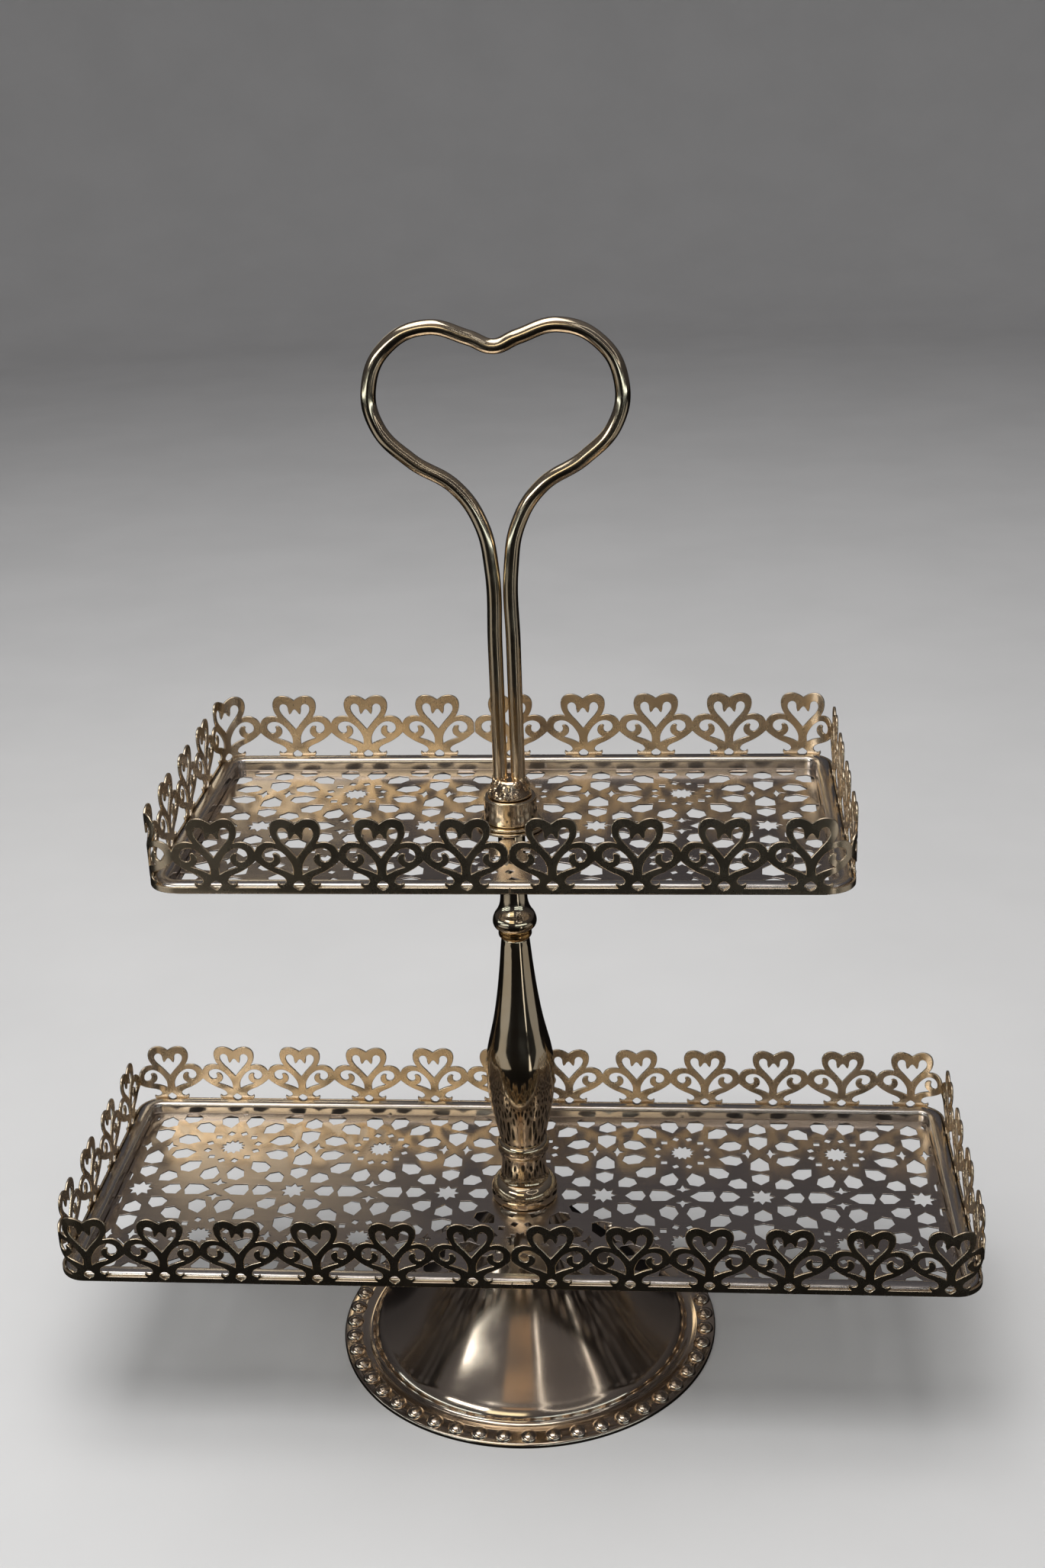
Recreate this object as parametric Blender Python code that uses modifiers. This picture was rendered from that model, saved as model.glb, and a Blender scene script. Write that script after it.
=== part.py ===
"""Two-tier cake stand: a spun base, two pierced trays with heart galleries, and a heart handle.

Metres, +Z up. The origin is the centre of the base's underside and the trays run along X.
One threaded rod on the Z axis holds the stack together: a nut under the neck of the base pulls
it down, and the ferrule of the handle screws on to its upper end. Each tray, the column between
them and the handle can turn about that rod.
"""

import math

import bmesh
import bpy
from mathutils import Vector

# ---------------------------------------------------------------- driving dimensions
MM = 0.001
GAP = 0.3 * MM  # clearance kept wherever two pieces meet

BASE_RADIUS = 86 * MM
BASE_SHEET = 0.9 * MM
NECK_TOP = 69.1 * MM

STRIP_HEIGHT = 31.5 * MM  # gallery, from its lower edge to the tops of the hearts
STRIP_THICKNESS = 1.0 * MM
TRAY_CORNER = 12 * MM  # outer corner radius, seen from above
FLOOR_SHEET = 0.6 * MM
FLOOR_INSET = 7.9 * MM  # from the tray's outer face to the edge of its floor
FLOOR_BELOW_STRIP = 1.8 * MM  # the floor's upper face, below the gallery's lower edge

LOWER_LENGTH, LOWER_DEPTH, LOWER_FLOOR = 390 * MM, 146 * MM, 70.0 * MM
LOWER_MOTIFS = (16, 16)  # hearts on the right-hand strip and on the left-hand one
UPPER_LENGTH, UPPER_DEPTH, UPPER_FLOOR = 275 * MM, 144 * MM, 251.1 * MM
UPPER_MOTIFS = (13, 12)
UPPER_SEAM = 5.4 * MM  # the upper gallery's front seam lies this far to the right of the middle

LATTICE = 71.1 * MM  # square lattice of the floor's star pattern
STAR_HOLE = 5.2 * MM  # radius of the hole in the middle of a twelve-petal star
SMALL_STAR_HOLE = 4.8 * MM  # and of the one midway between two such stars
SHEET_RIM = 1.2 * MM  # the least metal between a hole and the floor's edge

ROD_RADIUS = 3.0 * MM  # the threaded rod, and the bent rod of the handle
BORE_RADIUS = ROD_RADIUS + GAP
TIE_ROD_BOTTOM, TIE_ROD_TOP = 58 * MM, 262 * MM

CORNER_STEPS = 4
WELD = 0.002 * MM  # points nearer than this are one point
TAU = 2 * math.pi

# ---------------------------------------------------------------- scene and materials
for old in list(bpy.data.objects):
    bpy.data.objects.remove(old, do_unlink=True)

parts = bpy.data.collections.new("cake_stand")
bpy.context.scene.collection.children.link(parts)


def metal(name, colour, roughness):
    made = bpy.data.materials.new(name)
    made.use_nodes = True
    shader = made.node_tree.nodes["Principled BSDF"]
    shader.inputs["Base Color"].default_value = (*colour, 1)
    shader.inputs["Metallic"].default_value = 1
    shader.inputs["Roughness"].default_value = roughness
    return made


POLISHED = metal("polished_gold_plate", (0.80, 0.62, 0.38), 0.14)
SATIN = metal("satin_gold_plate", (0.72, 0.58, 0.42), 0.28)
STEEL = metal("zinc_plated_steel", (0.62, 0.62, 0.60), 0.35)


def put(name, data, material):
    """A new object in the stand's collection."""
    data.materials.clear()
    data.materials.append(material)
    made = bpy.data.objects.new(name, data)
    parts.objects.link(made)
    return made


# ---------------------------------------------------------------- turned pieces
def turned(name, profile, steps, material):
    """A closed outline of (radius, height) turned about Z. It runs down the outside and up the bore."""
    mesh = bpy.data.meshes.new(name)
    count = len(profile)
    edges = [(i, (i + 1) % count) for i in range(count)]
    mesh.from_pydata([(r, 0, z) for r, z in profile], edges, [])
    made = put(name, mesh, material)
    screw = made.modifiers.new("turn", "SCREW")
    screw.axis = "Z"
    screw.steps = steps
    screw.render_steps = steps
    screw.use_merge_vertices = True
    screw.merge_threshold = 0.01 * MM
    screw.use_smooth_shade = True
    return made


def scaled(profile, unit=MM):
    return [(r * unit, z * unit) for r, z in profile]


def inner_skin(outer, thickness):
    """The outer line moved inwards by the sheet's thickness, and turned round to run upwards."""
    moved = []
    for i, (r, z) in enumerate(outer):
        before = Vector(outer[max(i - 1, 0)])
        after = Vector(outer[min(i + 1, len(outer) - 1)])
        run = (after - before).normalized()
        moved.append((r + run.y * thickness, z - run.x * thickness))
    return moved[::-1]


def pedestal_base():
    """Spun from one sheet: a neck, a gently hollow cone, a round shoulder, a groove and a flat rim."""
    outside = scaled(
        [
            (14.2, 67.6), (16.2, 64.6), (20, 59.8), (26.5, 52), (36, 41), (50, 26), (63, 12.6),
            (67.4, 8.8), (70.6, 5.8), (72.4, 2.6), (75.2, 1.4), (77.6, 2.2),
        ]
    )  # fmt: skip
    rim = scaled([(84.8, 2.1)]) + [(BASE_RADIUS, 1.1 * MM), (BASE_RADIUS, 0)]
    neck = [(BORE_RADIUS, NECK_TOP), (13.2 * MM, NECK_TOP)]
    inside = [(r, max(z, 0.5 * MM)) for r, z in inner_skin(outside[:-1], BASE_SHEET)]
    under_rim = [(80 * MM, 0), (78.5 * MM, 1.2 * MM)]
    ceiling = [(12.4 * MM, NECK_TOP - BASE_SHEET), (BORE_RADIUS, NECK_TOP - BASE_SHEET)]
    return turned("pedestal_base", neck + outside + rim + under_rim + inside + ceiling, 36, POLISHED)


def washer(name, radius, bottom, thickness, steps=20):
    top = bottom + thickness
    edge = min(0.3 * MM, thickness / 3)
    section = [(BORE_RADIUS, top), (radius - edge, top), (radius, top - edge)]
    section += [(radius, bottom), (BORE_RADIUS, bottom)]
    return turned(name, section, steps, POLISHED)


def column_foot():
    """The low bun that the column stands on."""
    bottom = LOWER_FLOOR + GAP
    bun = [(9.5, 10.2), (11.4, 10.2), (13.2, 8.6), (14.4, 6.4), (14.9, 3.4), (14.6, 1.2), (14.1, 0)]
    section = [(BORE_RADIUS, bottom + 10.2 * MM)]
    section += [(r * MM, bottom + z * MM) for r, z in bun]
    section.append((BORE_RADIUS, bottom))
    return turned("column_foot", section, 24, POLISHED)


def column_vase():
    """A spool, a ring and a tall vase, cast hollow and open below."""
    outside = [
        (6.0, 199.9), (8.0, 179.6), (11.0, 159.6), (13.7, 148.6), (15.0, 137.0), (14.8, 124.5), (12.6, 112.0),
        (10.4, 102.4), (10.1, 99.9), (11.3, 98.4), (11.6, 96.3), (10.6, 93.6), (10.0, 87.0), (11.2, 80.8),
    ]  # fmt: skip
    inside = [(8.2, 80.8), (7.4, 90.0), (7.6, 103.0), (11.6, 126.0), (11.4, 144.0), (4.0, 184.0)]
    bore = [(BORE_RADIUS, 186 * MM), (BORE_RADIUS, 199.9 * MM)]
    return turned("column_vase", scaled(outside) + scaled(inside) + bore, 24, POLISHED)


def column_ring():
    """The plain ring between the vase and the collar."""
    outside = scaled([(6.8, 204.3), (7.2, 203.8), (7.2, 201.6), (6.9, 200.6), (6.4, 200.2)])
    bore = [(BORE_RADIUS, 200.2 * MM), (BORE_RADIUS, 204.3 * MM)]
    return turned("column_ring", outside + bore, 20, POLISHED)


def column_collar():
    """A ball and the straight neck that carries the upper tray."""
    outside = [
        (5.7, 250.2), (5.7, 222.0), (6.0, 216.5), (7.2, 212.6), (8.8, 210.2), (9.4, 207.6), (9.1, 205.7),
        (8.5, 204.9), (7.8, 204.6),
    ]  # fmt: skip
    bore = [(BORE_RADIUS, 204.6 * MM), (BORE_RADIUS, 250.2 * MM)]
    return turned("column_collar", scaled(outside) + bore, 20, POLISHED)


def handle_ferrule():
    """The round cap that both ends of the handle are brazed to, bored from below for the rod."""
    bottom, top = 254.3 * MM, 265.0 * MM
    bore_end = TIE_ROD_TOP + GAP
    section = [
        (0.2 * MM, top), (10.2 * MM, top), (11 * MM, top - 0.9 * MM), (11 * MM, bottom + 0.6 * MM),
        (10.4 * MM, bottom), (BORE_RADIUS, bottom), (BORE_RADIUS, bore_end), (0.2 * MM, bore_end),
    ]  # fmt: skip
    return turned("handle_ferrule", section, 24, POLISHED)


def tie_rod():
    bpy.ops.mesh.primitive_cylinder_add(
        vertices=16,
        radius=ROD_RADIUS,
        depth=TIE_ROD_TOP - TIE_ROD_BOTTOM,
        location=(0, 0, (TIE_ROD_TOP + TIE_ROD_BOTTOM) / 2),
    )
    made = bpy.context.object
    made.name = "tie_rod"
    made.data.materials.append(STEEL)
    for owner in list(made.users_collection):
        owner.objects.unlink(made)
    parts.objects.link(made)
    return made


# ---------------------------------------------------------------- flat outlines
def outline_mesh(name, outlines, thickness):
    """A plate of this thickness about Z = 0. Each outline is a list of (x, y); the inner ones are holes."""
    curve = bpy.data.curves.new(name, "CURVE")
    curve.dimensions = "2D"
    curve.fill_mode = "BOTH"
    curve.extrude = thickness / 2
    for outline in outlines:
        line = curve.splines.new("POLY")
        line.points.add(len(outline) - 1)
        for point, (x, y) in zip(line.points, outline):
            point.co = (x, y, 0, 1)
        line.use_cyclic_u = True
    shape = bpy.data.objects.new(name + "_outline", curve)
    parts.objects.link(shape)
    mesh = evaluated_mesh(shape)
    mesh.name = name
    return mesh


def evaluated_mesh(shape):
    """The closed mesh that a curve object makes. The curve object is removed."""
    bpy.context.view_layer.update()
    graph = bpy.context.evaluated_depsgraph_get()
    mesh = bpy.data.meshes.new_from_object(shape.evaluated_get(graph))
    curve = shape.data
    bpy.data.objects.remove(shape, do_unlink=True)
    bpy.data.curves.remove(curve)
    solid = bmesh.new()
    solid.from_mesh(mesh)
    bmesh.ops.remove_doubles(solid, verts=solid.verts, dist=WELD)
    bmesh.ops.recalc_face_normals(solid, faces=solid.faces)
    solid.to_mesh(mesh)
    solid.free()
    return mesh


def polygon(radius, sides, centre=(0, 0), start=0.0):
    angles = [start + TAU * i / sides for i in range(sides)]
    return [(centre[0] + radius * math.cos(a), centre[1] + radius * math.sin(a)) for a in angles]


def rounded_rectangle(half_x, half_y, radius, steps=CORNER_STEPS):
    corners = []
    for turn, (sx, sy) in enumerate(((1, -1), (1, 1), (-1, 1), (-1, -1))):
        centre = (sx * (half_x - radius), sy * (half_y - radius))
        for i in range(steps + 1):
            angle = TAU / 4 * (turn - 1 + i / steps)
            corners.append((centre[0] + radius * math.cos(angle), centre[1] + radius * math.sin(angle)))
    return corners


def base_nut():
    bottom, height, across_flats = 61 * MM, 5 * MM, 10 * MM
    hexagon = polygon(across_flats / math.sqrt(3), 6)
    mesh = outline_mesh("base_nut", [hexagon, polygon(BORE_RADIUS, 16)], height)
    made = put("base_nut", mesh, STEEL)
    made.location.z = bottom + height / 2
    return made


# ---------------------------------------------------------------- the pierced floors
PETAL = scaled([(17.4, 0), (23.0, 4.4), (29.0, 0), (23.0, -4.4)])  # outwards, sideways


def petal(centre, angle):
    """One kite of a twelve-petal ring, its point towards the middle of the star."""
    turn_x, turn_y = math.cos(angle), math.sin(angle)
    return [
        (centre[0] + x * turn_x - y * turn_y, centre[1] + x * turn_y + y * turn_x)
        for x, y in PETAL
    ]


def star_holes(half_x, half_y):
    """The twelve-petal stars, the small stars between them, and none that the floor's edge would cut."""
    holes = []
    reach = int(half_x / LATTICE) + 1
    for i in range(-reach, reach + 1):
        for side in (-0.5, 0.5):
            centre = (i * LATTICE, side * LATTICE)
            holes.append(polygon(STAR_HOLE, 6, centre))
            for k in range(12):
                holes.append(petal(centre, TAU * (k + 0.5) / 12))
        small = ((i + 0.5) * LATTICE, 0)
        holes.append(polygon(SMALL_STAR_HOLE, 6, small))
    far_x, far_y = half_x - SHEET_RIM, half_y - SHEET_RIM
    return [hole for hole in holes if all(abs(x) < far_x and abs(y) < far_y for x, y in hole)]


def tray_floor(name, length, depth, top):
    """The perforated sheet that lies inside the tray's frame."""
    half_x = length / 2 - FLOOR_INSET
    half_y = depth / 2 - FLOOR_INSET
    edge = rounded_rectangle(half_x, half_y, TRAY_CORNER - FLOOR_INSET, 2)
    outlines = [edge, polygon(BORE_RADIUS, 12)] + star_holes(half_x, half_y)
    made = put(name, outline_mesh(name, outlines, FLOOR_SHEET), SATIN)
    made.location.z = top - FLOOR_SHEET / 2
    return made


def tray_frame(name, length, depth, floor):
    """The rolled frame: a round-topped bead outside, a wall inside, and a ledge under the floor."""
    strip_bottom = floor + FLOOR_BELOW_STRIP
    section = scaled(
        [
            (0, 0), (0, 1.9), (0.7, 2.9), (2.0, 3.4), (4.2, 3.4), (5.5, 2.9), (6.2, 1.9), (6.2, -2.7),
            (8.3, -2.7), (8.3, -3.2), (5.4, -3.2), (5.4, 1.7), (5.0, 2.3), (4.0, 2.6), (2.2, 2.6),
            (1.2, 2.3), (0.8, 1.7), (0.8, 0),
        ]
    )  # fmt: skip
    outer = STRIP_THICKNESS + GAP
    frame = bmesh.new()
    rings = []
    for inwards, height in section:
        line = rounded_rectangle(
            length / 2 - outer - inwards,
            depth / 2 - outer - inwards,
            TRAY_CORNER - outer - inwards,
        )
        rings.append([frame.verts.new((x, y, strip_bottom + height)) for x, y in line])
    for ring, following in zip(rings, rings[1:] + rings[:1]):
        for i in range(len(ring)):
            j = (i + 1) % len(ring)
            frame.faces.new((ring[i], ring[j], following[j], following[i]))
    bmesh.ops.recalc_face_normals(frame, faces=frame.faces)
    mesh = bpy.data.meshes.new(name)
    frame.to_mesh(mesh)
    frame.free()
    made = put(name, mesh, POLISHED)
    mesh.shade_smooth()
    mesh.set_sharp_from_angle(angle=math.radians(50))
    return made


# ---------------------------------------------------------------- the heart galleries
def tray_path(length, depth, inset):
    """Arc length round a tray, from the middle of its front towards +X, to a place and its outward normal."""
    half_x, half_y, radius = length / 2 - inset, depth / 2 - inset, TRAY_CORNER - inset
    long_run, short_run, bend = half_x - radius, 2 * (half_y - radius), radius * TAU / 4
    stretches = (long_run, bend, short_run, bend, 2 * long_run, bend, short_run, bend, long_run)
    whole = sum(stretches)

    def place(distance):
        left = distance % whole
        x, y, heading = 0.0, -half_y, 0.0
        for number, stretch in enumerate(stretches):
            step = min(left, stretch)
            if number % 2 == 0:
                x += step * math.cos(heading)
                y += step * math.sin(heading)
            else:
                turned_by = step / radius
                x += radius * (math.sin(heading + turned_by) - math.sin(heading))
                y += radius * (math.cos(heading) - math.cos(heading + turned_by))
                heading += turned_by
            left -= step
            if left <= 0:
                break
        return (x, y), (math.sin(heading), -math.cos(heading))

    bends = []
    start = 0.0
    for number, stretch in enumerate(stretches):
        if number % 2:
            bends += [start + stretch * i / CORNER_STEPS for i in range(CORNER_STEPS + 1)]
        start += stretch
    return place, whole, bends


# Half of one motif: across from its middle in motif widths, and up from the strip's lower edge,
# where the height of the heart's lobes is the last number of HEART_EDGE.
HEART_EDGE = ((0.50, 0.56), (0.31, 0.665), (0.31, 0.83), (0.17, 0.955))
HEART_DIP = (0, 0.895)
HEART_HOLE = ((0, 0.50), (0.20, 0.74), (0.155, 0.855))
HEART_HOLE_TOP = (0, 0.78)
WINDOW = ((0.24, 0.084), (0.155, 0.20), (0.30, 0.34), (0.50, 0.455))


def mirrored(half, top=None):
    """A left half and its mirror image on the right, in order, with an optional point on the middle."""
    points = [(-x, y) for x, y in half]
    points += [top] if top else []
    return points + [(x, y) for x, y in reversed(half)]


def strip_outlines(motifs, pitch, height):
    """The gallery strip laid flat: one outline, and the holes in it."""
    def at(middle, point):
        return ((middle + point[0]) * pitch, point[1] * height)

    top = []
    for number in reversed(range(motifs)):
        edge = mirrored(HEART_EDGE, HEART_DIP)
        top += [at(number + 0.5, point) for point in reversed(edge[1:])]
    top.append(at(0.5, (-0.5, HEART_EDGE[0][1])))
    right_window = [at(motifs - 0.5, point) for point in WINDOW]
    left_window = [at(0.5, (-x, y)) for x, y in reversed(WINDOW)]
    end = motifs * pitch
    outline = [(0, 0), (end, 0), (end, WINDOW[0][1] * height)]
    outline += right_window + top + left_window + [(0, WINDOW[0][1] * height)]
    holes = []
    for number in range(motifs):
        heart = [(-x, y) for x, y in HEART_HOLE] + [HEART_HOLE_TOP] + [HEART_HOLE[2], HEART_HOLE[1]]
        holes.append([at(number + 0.5, point) for point in heart])
        if number:
            left = [at(number - 0.5, point) for point in WINDOW]
            right = [at(number + 0.5, (-x, y)) for x, y in reversed(WINDOW[:-1])]
            holes.append(left + right)
    return outline, holes


def gallery(name, path, start, motifs, pitch, bottom, turns):
    """Part of a gallery: the flat strip, bent round the tray's corners."""
    outline, holes = strip_outlines(motifs, pitch, STRIP_HEIGHT / HEART_EDGE[-1][1])
    mesh = outline_mesh(name, [outline] + holes, STRIP_THICKNESS)
    strip = bmesh.new()
    strip.from_mesh(mesh)
    length = motifs * pitch
    for bend in turns:
        if 0 < bend - start < length:
            everything = list(strip.verts) + list(strip.edges) + list(strip.faces)
            bmesh.ops.bisect_plane(
                strip, geom=everything, dist=WELD, plane_co=(bend - start, 0, 0), plane_no=(1, 0, 0)
            )
    bmesh.ops.triangulate(strip, faces=strip.faces)
    shrink = (length - GAP) / length
    for vert in strip.verts:
        along, up, out = vert.co
        (x, y), (normal_x, normal_y) = path(start + GAP / 2 + along * shrink)
        vert.co = (x + normal_x * out, y + normal_y * out, bottom + up)
    strip.to_mesh(mesh)
    strip.free()
    return put(name, mesh, POLISHED)


def galleries(tier, length, depth, floor, motifs, seam):
    """Two strips of hearts, meeting near the middle of the front and of the back."""
    path, whole, bends = tray_path(length, depth, STRIP_THICKNESS / 2)
    pitch = whole / sum(motifs)
    bottom = floor + FLOOR_BELOW_STRIP
    start = seam
    for side, count in zip(("right", "left"), motifs):
        gallery(f"{tier}_gallery_{side}", path, start, count, pitch, bottom, bends)
        start += count * pitch


# ---------------------------------------------------------------- the handle
# Right half of the handle's centreline, (x, z), from its foot up to the dip of the heart.
HANDLE_ROUTE = scaled(
    [
        (3.7, 265.8), (3.7, 330), (3.9, 362), (7.6, 380.5), (17, 394.7), (34, 405.6), (46.4, 419),
        (48.6, 435), (41, 449.5), (25.5, 456.4), (9.3, 452.2), (0, 448.8),
    ]
)  # fmt: skip


def handle_loop():
    """One bent rod: two legs side by side, opening into a heart."""
    curve = bpy.data.curves.new("handle_loop", "CURVE")
    curve.dimensions = "3D"
    curve.bevel_depth = ROD_RADIUS
    curve.bevel_resolution = 2
    curve.resolution_u = 3
    curve.use_fill_caps = True
    route = HANDLE_ROUTE + [(-x, z) for x, z in reversed(HANDLE_ROUTE[:-1])]
    line = curve.splines.new("BEZIER")
    line.bezier_points.add(len(route) - 1)
    for point, (x, z) in zip(line.bezier_points, route):
        point.co = (x, 0, z)
        point.handle_left_type = "AUTO"
        point.handle_right_type = "AUTO"
    return put("handle_loop", curve, POLISHED)


def handle_braze():
    """The cone of braze that holds both legs of the handle on the ferrule."""
    section = [
        (0.2, 273.2), (6.6, 273.8), (7.4, 273.0), (8.6, 269.0), (9.4, 266.4), (9.4, 265.3), (0.2, 265.3),
    ]  # fmt: skip
    made = turned("handle_braze", scaled(section), 20, POLISHED)
    for side in (-1, 1):
        foot_x, foot_z = HANDLE_ROUTE[0]
        bpy.ops.mesh.primitive_cylinder_add(
            vertices=16, radius=BORE_RADIUS, depth=30 * MM, location=(side * foot_x, 0, foot_z)
        )
        cutter = bpy.context.object
        cutter.name = f"leg_cutter_{side}"
        cutter.hide_render = True
        cutter.display_type = "WIRE"
        cut = made.modifiers.new(cutter.name, "BOOLEAN")
        cut.object = cutter
    return made


# ---------------------------------------------------------------- the whole stand
pedestal_base()
washer("base_washer", 9 * MM, 66.4 * MM, 1.5 * MM)
base_nut()
tie_rod()

for tier, length, depth, floor, motifs, seam in (
    ("lower", LOWER_LENGTH, LOWER_DEPTH, LOWER_FLOOR, LOWER_MOTIFS, 0),
    ("upper", UPPER_LENGTH, UPPER_DEPTH, UPPER_FLOOR, UPPER_MOTIFS, UPPER_SEAM),
):
    tray_floor(f"{tier}_tray_floor", length, depth, floor)
    tray_frame(f"{tier}_tray_frame", length, depth, floor)
    galleries(tier, length, depth, floor, motifs, seam)

column_foot()
column_vase()
column_ring()
column_collar()

washer("seat_washer", 14.3 * MM, UPPER_FLOOR + GAP, 1.2 * MM)
washer("handle_washer", 13 * MM, UPPER_FLOOR + GAP * 2 + 1.2 * MM, 1.1 * MM)
handle_ferrule()
handle_braze()
handle_loop()
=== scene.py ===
"""The looks of a two-tier cake stand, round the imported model: detailed pieces, metals, floor, light, camera.

Metres, +Z up. Outlines and profiles are written in millimetres and scaled when their mesh is made.
"""

import math

import bmesh
import bpy
from mathutils import Matrix, Vector, noise
from mathutils.geometry import delaunay_2d_cdt


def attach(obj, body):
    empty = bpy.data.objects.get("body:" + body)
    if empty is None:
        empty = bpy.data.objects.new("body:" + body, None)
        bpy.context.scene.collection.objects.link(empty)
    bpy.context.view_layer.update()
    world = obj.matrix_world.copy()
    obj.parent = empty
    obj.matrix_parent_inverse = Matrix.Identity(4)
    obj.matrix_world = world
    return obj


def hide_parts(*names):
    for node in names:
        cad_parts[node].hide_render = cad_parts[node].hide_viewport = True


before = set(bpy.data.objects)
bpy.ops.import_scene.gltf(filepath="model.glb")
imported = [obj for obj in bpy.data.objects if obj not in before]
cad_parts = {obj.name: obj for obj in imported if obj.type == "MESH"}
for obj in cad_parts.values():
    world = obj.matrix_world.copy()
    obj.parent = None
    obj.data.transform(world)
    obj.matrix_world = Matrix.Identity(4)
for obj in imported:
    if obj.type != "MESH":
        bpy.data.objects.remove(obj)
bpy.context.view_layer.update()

# ---------------------------------------------------------------- dimensions, as in the CAD (mm)
MM = 0.001
TAU = 2 * math.pi
GAP = 0.3  # kept wherever two pieces meet
BORE = 3.3
ROD = 3.0
BASE_SHEET = 0.9
NECK_TOP = 69.1
STRIP_HEIGHT = 31.5
STRIP_THICKNESS = 1.0
TRAY_CORNER = 12.0
FLOOR_SHEET = 0.6
FLOOR_INSET = 7.9
FLOOR_BELOW_STRIP = 1.8
LATTICE = 71.1
UNIT = 33.0  # the floor's pattern is drawn in this unit
TRAYS = (
    # name, length, depth, floor height, hearts right and left, place of the front seam
    ("lower", 390.0, 146.0, 70.0, (16, 16), 0.0),
    ("upper", 275.0, 144.0, 251.1, (13, 12), 5.4),
)
STRIP_ROUNDING = 0.24  # of the edges of the galleries' strips
FLOOR_ROUNDING = 0.1
WELD = 0.001  # points nearer than this are one point


# ---------------------------------------------------------------- small tools
def smooth(points, steps, closed=False):
    """A line through the points. It bends smoothly, or sharply at a point whose third item is 1."""
    count = len(points)
    spots = [Vector(p[:2]) for p in points]
    corner = [len(p) > 2 and p[2] == 1 for p in points]
    if not closed:
        corner[0] = corner[-1] = True

    def tangent(i):
        back, ahead = spots[i] - spots[i - 1], spots[(i + 1) % count] - spots[i]
        a, b = back.length, ahead.length
        return (back / a * b + ahead / b * a) / (a + b)

    line = []
    for i in range(count if closed else count - 1):
        j = (i + 1) % count
        start, end = spots[i], spots[j]
        span = (end - start).length
        straight = (end - start) / span
        first = straight if corner[i] else tangent(i)
        last = straight if corner[j] else tangent(j)
        if corner[i] and not corner[j]:
            first = straight * 1.5 - last * 0.5
        if corner[j] and not corner[i]:
            last = straight * 1.5 - first * 0.5
        pieces = 1 if corner[i] and corner[j] else steps
        for k in range(pieces):
            t = k / pieces
            line.append(
                start * (2 * t**3 - 3 * t**2 + 1)
                + first * span * (t**3 - 2 * t**2 + t)
                + end * (3 * t**2 - 2 * t**3)
                + last * span * (t**3 - t**2)
            )
    if not closed:
        line.append(spots[-1])
    return line


def filleted(points, steps=5):
    """A line of straight runs. A third item is the radius that rounds the point."""
    line = []
    for i, point in enumerate(points):
        here = Vector(point[:2])
        if len(point) < 3 or not 0 < i < len(points) - 1:
            line.append(here)
            continue
        to_last = (Vector(points[i - 1][:2]) - here).normalized()
        to_next = (Vector(points[i + 1][:2]) - here).normalized()
        half = to_last.angle(to_next) / 2
        reach = point[2] / math.tan(half)
        middle = here + (to_last + to_next).normalized() * (point[2] / math.sin(half))
        start, end = here + to_last * reach - middle, here + to_next * reach - middle
        for k in range(steps + 1):
            mixed = start.lerp(end, k / steps)
            line.append(middle + mixed.normalized() * point[2])
    return line


def finished(name, solid, sharp):
    """The mesh of a bmesh, smooth but for edges over this angle in degrees."""
    mesh = bpy.data.meshes.new(name)
    solid.to_mesh(mesh)
    solid.free()
    mesh.shade_smooth()
    mesh.set_sharp_from_angle(angle=math.radians(sharp))
    return mesh


def show(name, data, material, body, slot, *nodes):
    """A new piece that rides on a body and stands for these CAD nodes."""
    data.materials.clear()
    data.materials.append(material)
    piece = bpy.data.objects.new(name, data)
    bpy.context.scene.collection.objects.link(piece)
    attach(piece, body)
    if nodes:
        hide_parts(*nodes)
    return piece


def circle(radius, sides):
    return [(radius * math.cos(TAU * k / sides), radius * math.sin(TAU * k / sides)) for k in range(sides)]


def level(solid, line, z):
    """A ring of vertices along a flat line, at this height."""
    return [solid.verts.new((x * MM, y * MM, z * MM)) for x, y in line]


def bridge(solid, rings):
    """Joins each ring of vertices to the next one."""
    for ring, following in zip(rings, rings[1:]):
        for i in range(len(ring)):
            j = (i + 1) % len(ring)
            solid.faces.new((ring[i], ring[j], following[j], following[i]))


def turn_into(solid, profile, steps, place=None):
    """Adds a closed outline of (radius, height) turned about Z. It runs down the outside."""
    place = place or Matrix.Identity(4)
    rings = []
    for k in range(steps):
        angle = TAU * k / steps
        across = Vector((math.cos(angle), math.sin(angle), 0))
        rings.append(
            [solid.verts.new(place @ (across * (r * MM) + Vector((0, 0, z * MM)))) for r, z in profile]
        )
    bridge(solid, rings + rings[:1])


def turned(name, profile, steps):
    solid = bmesh.new()
    turn_into(solid, [tuple(p) for p in profile], steps)
    return finished(name, solid, 32)


def inset(loop, amount):
    """A closed loop moved to its own left."""
    moved = []
    for i, here in enumerate(loop):
        run_in = (here - loop[i - 1]).normalized()
        run_out = (loop[(i + 1) % len(loop)] - here).normalized()
        left_in, left_out = Vector((-run_in.y, run_in.x)), Vector((-run_out.y, run_out.x))
        moved.append(here + (left_in + left_out) * (amount / max(1 + left_in.dot(left_out), 0.4)))
    return moved


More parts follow.
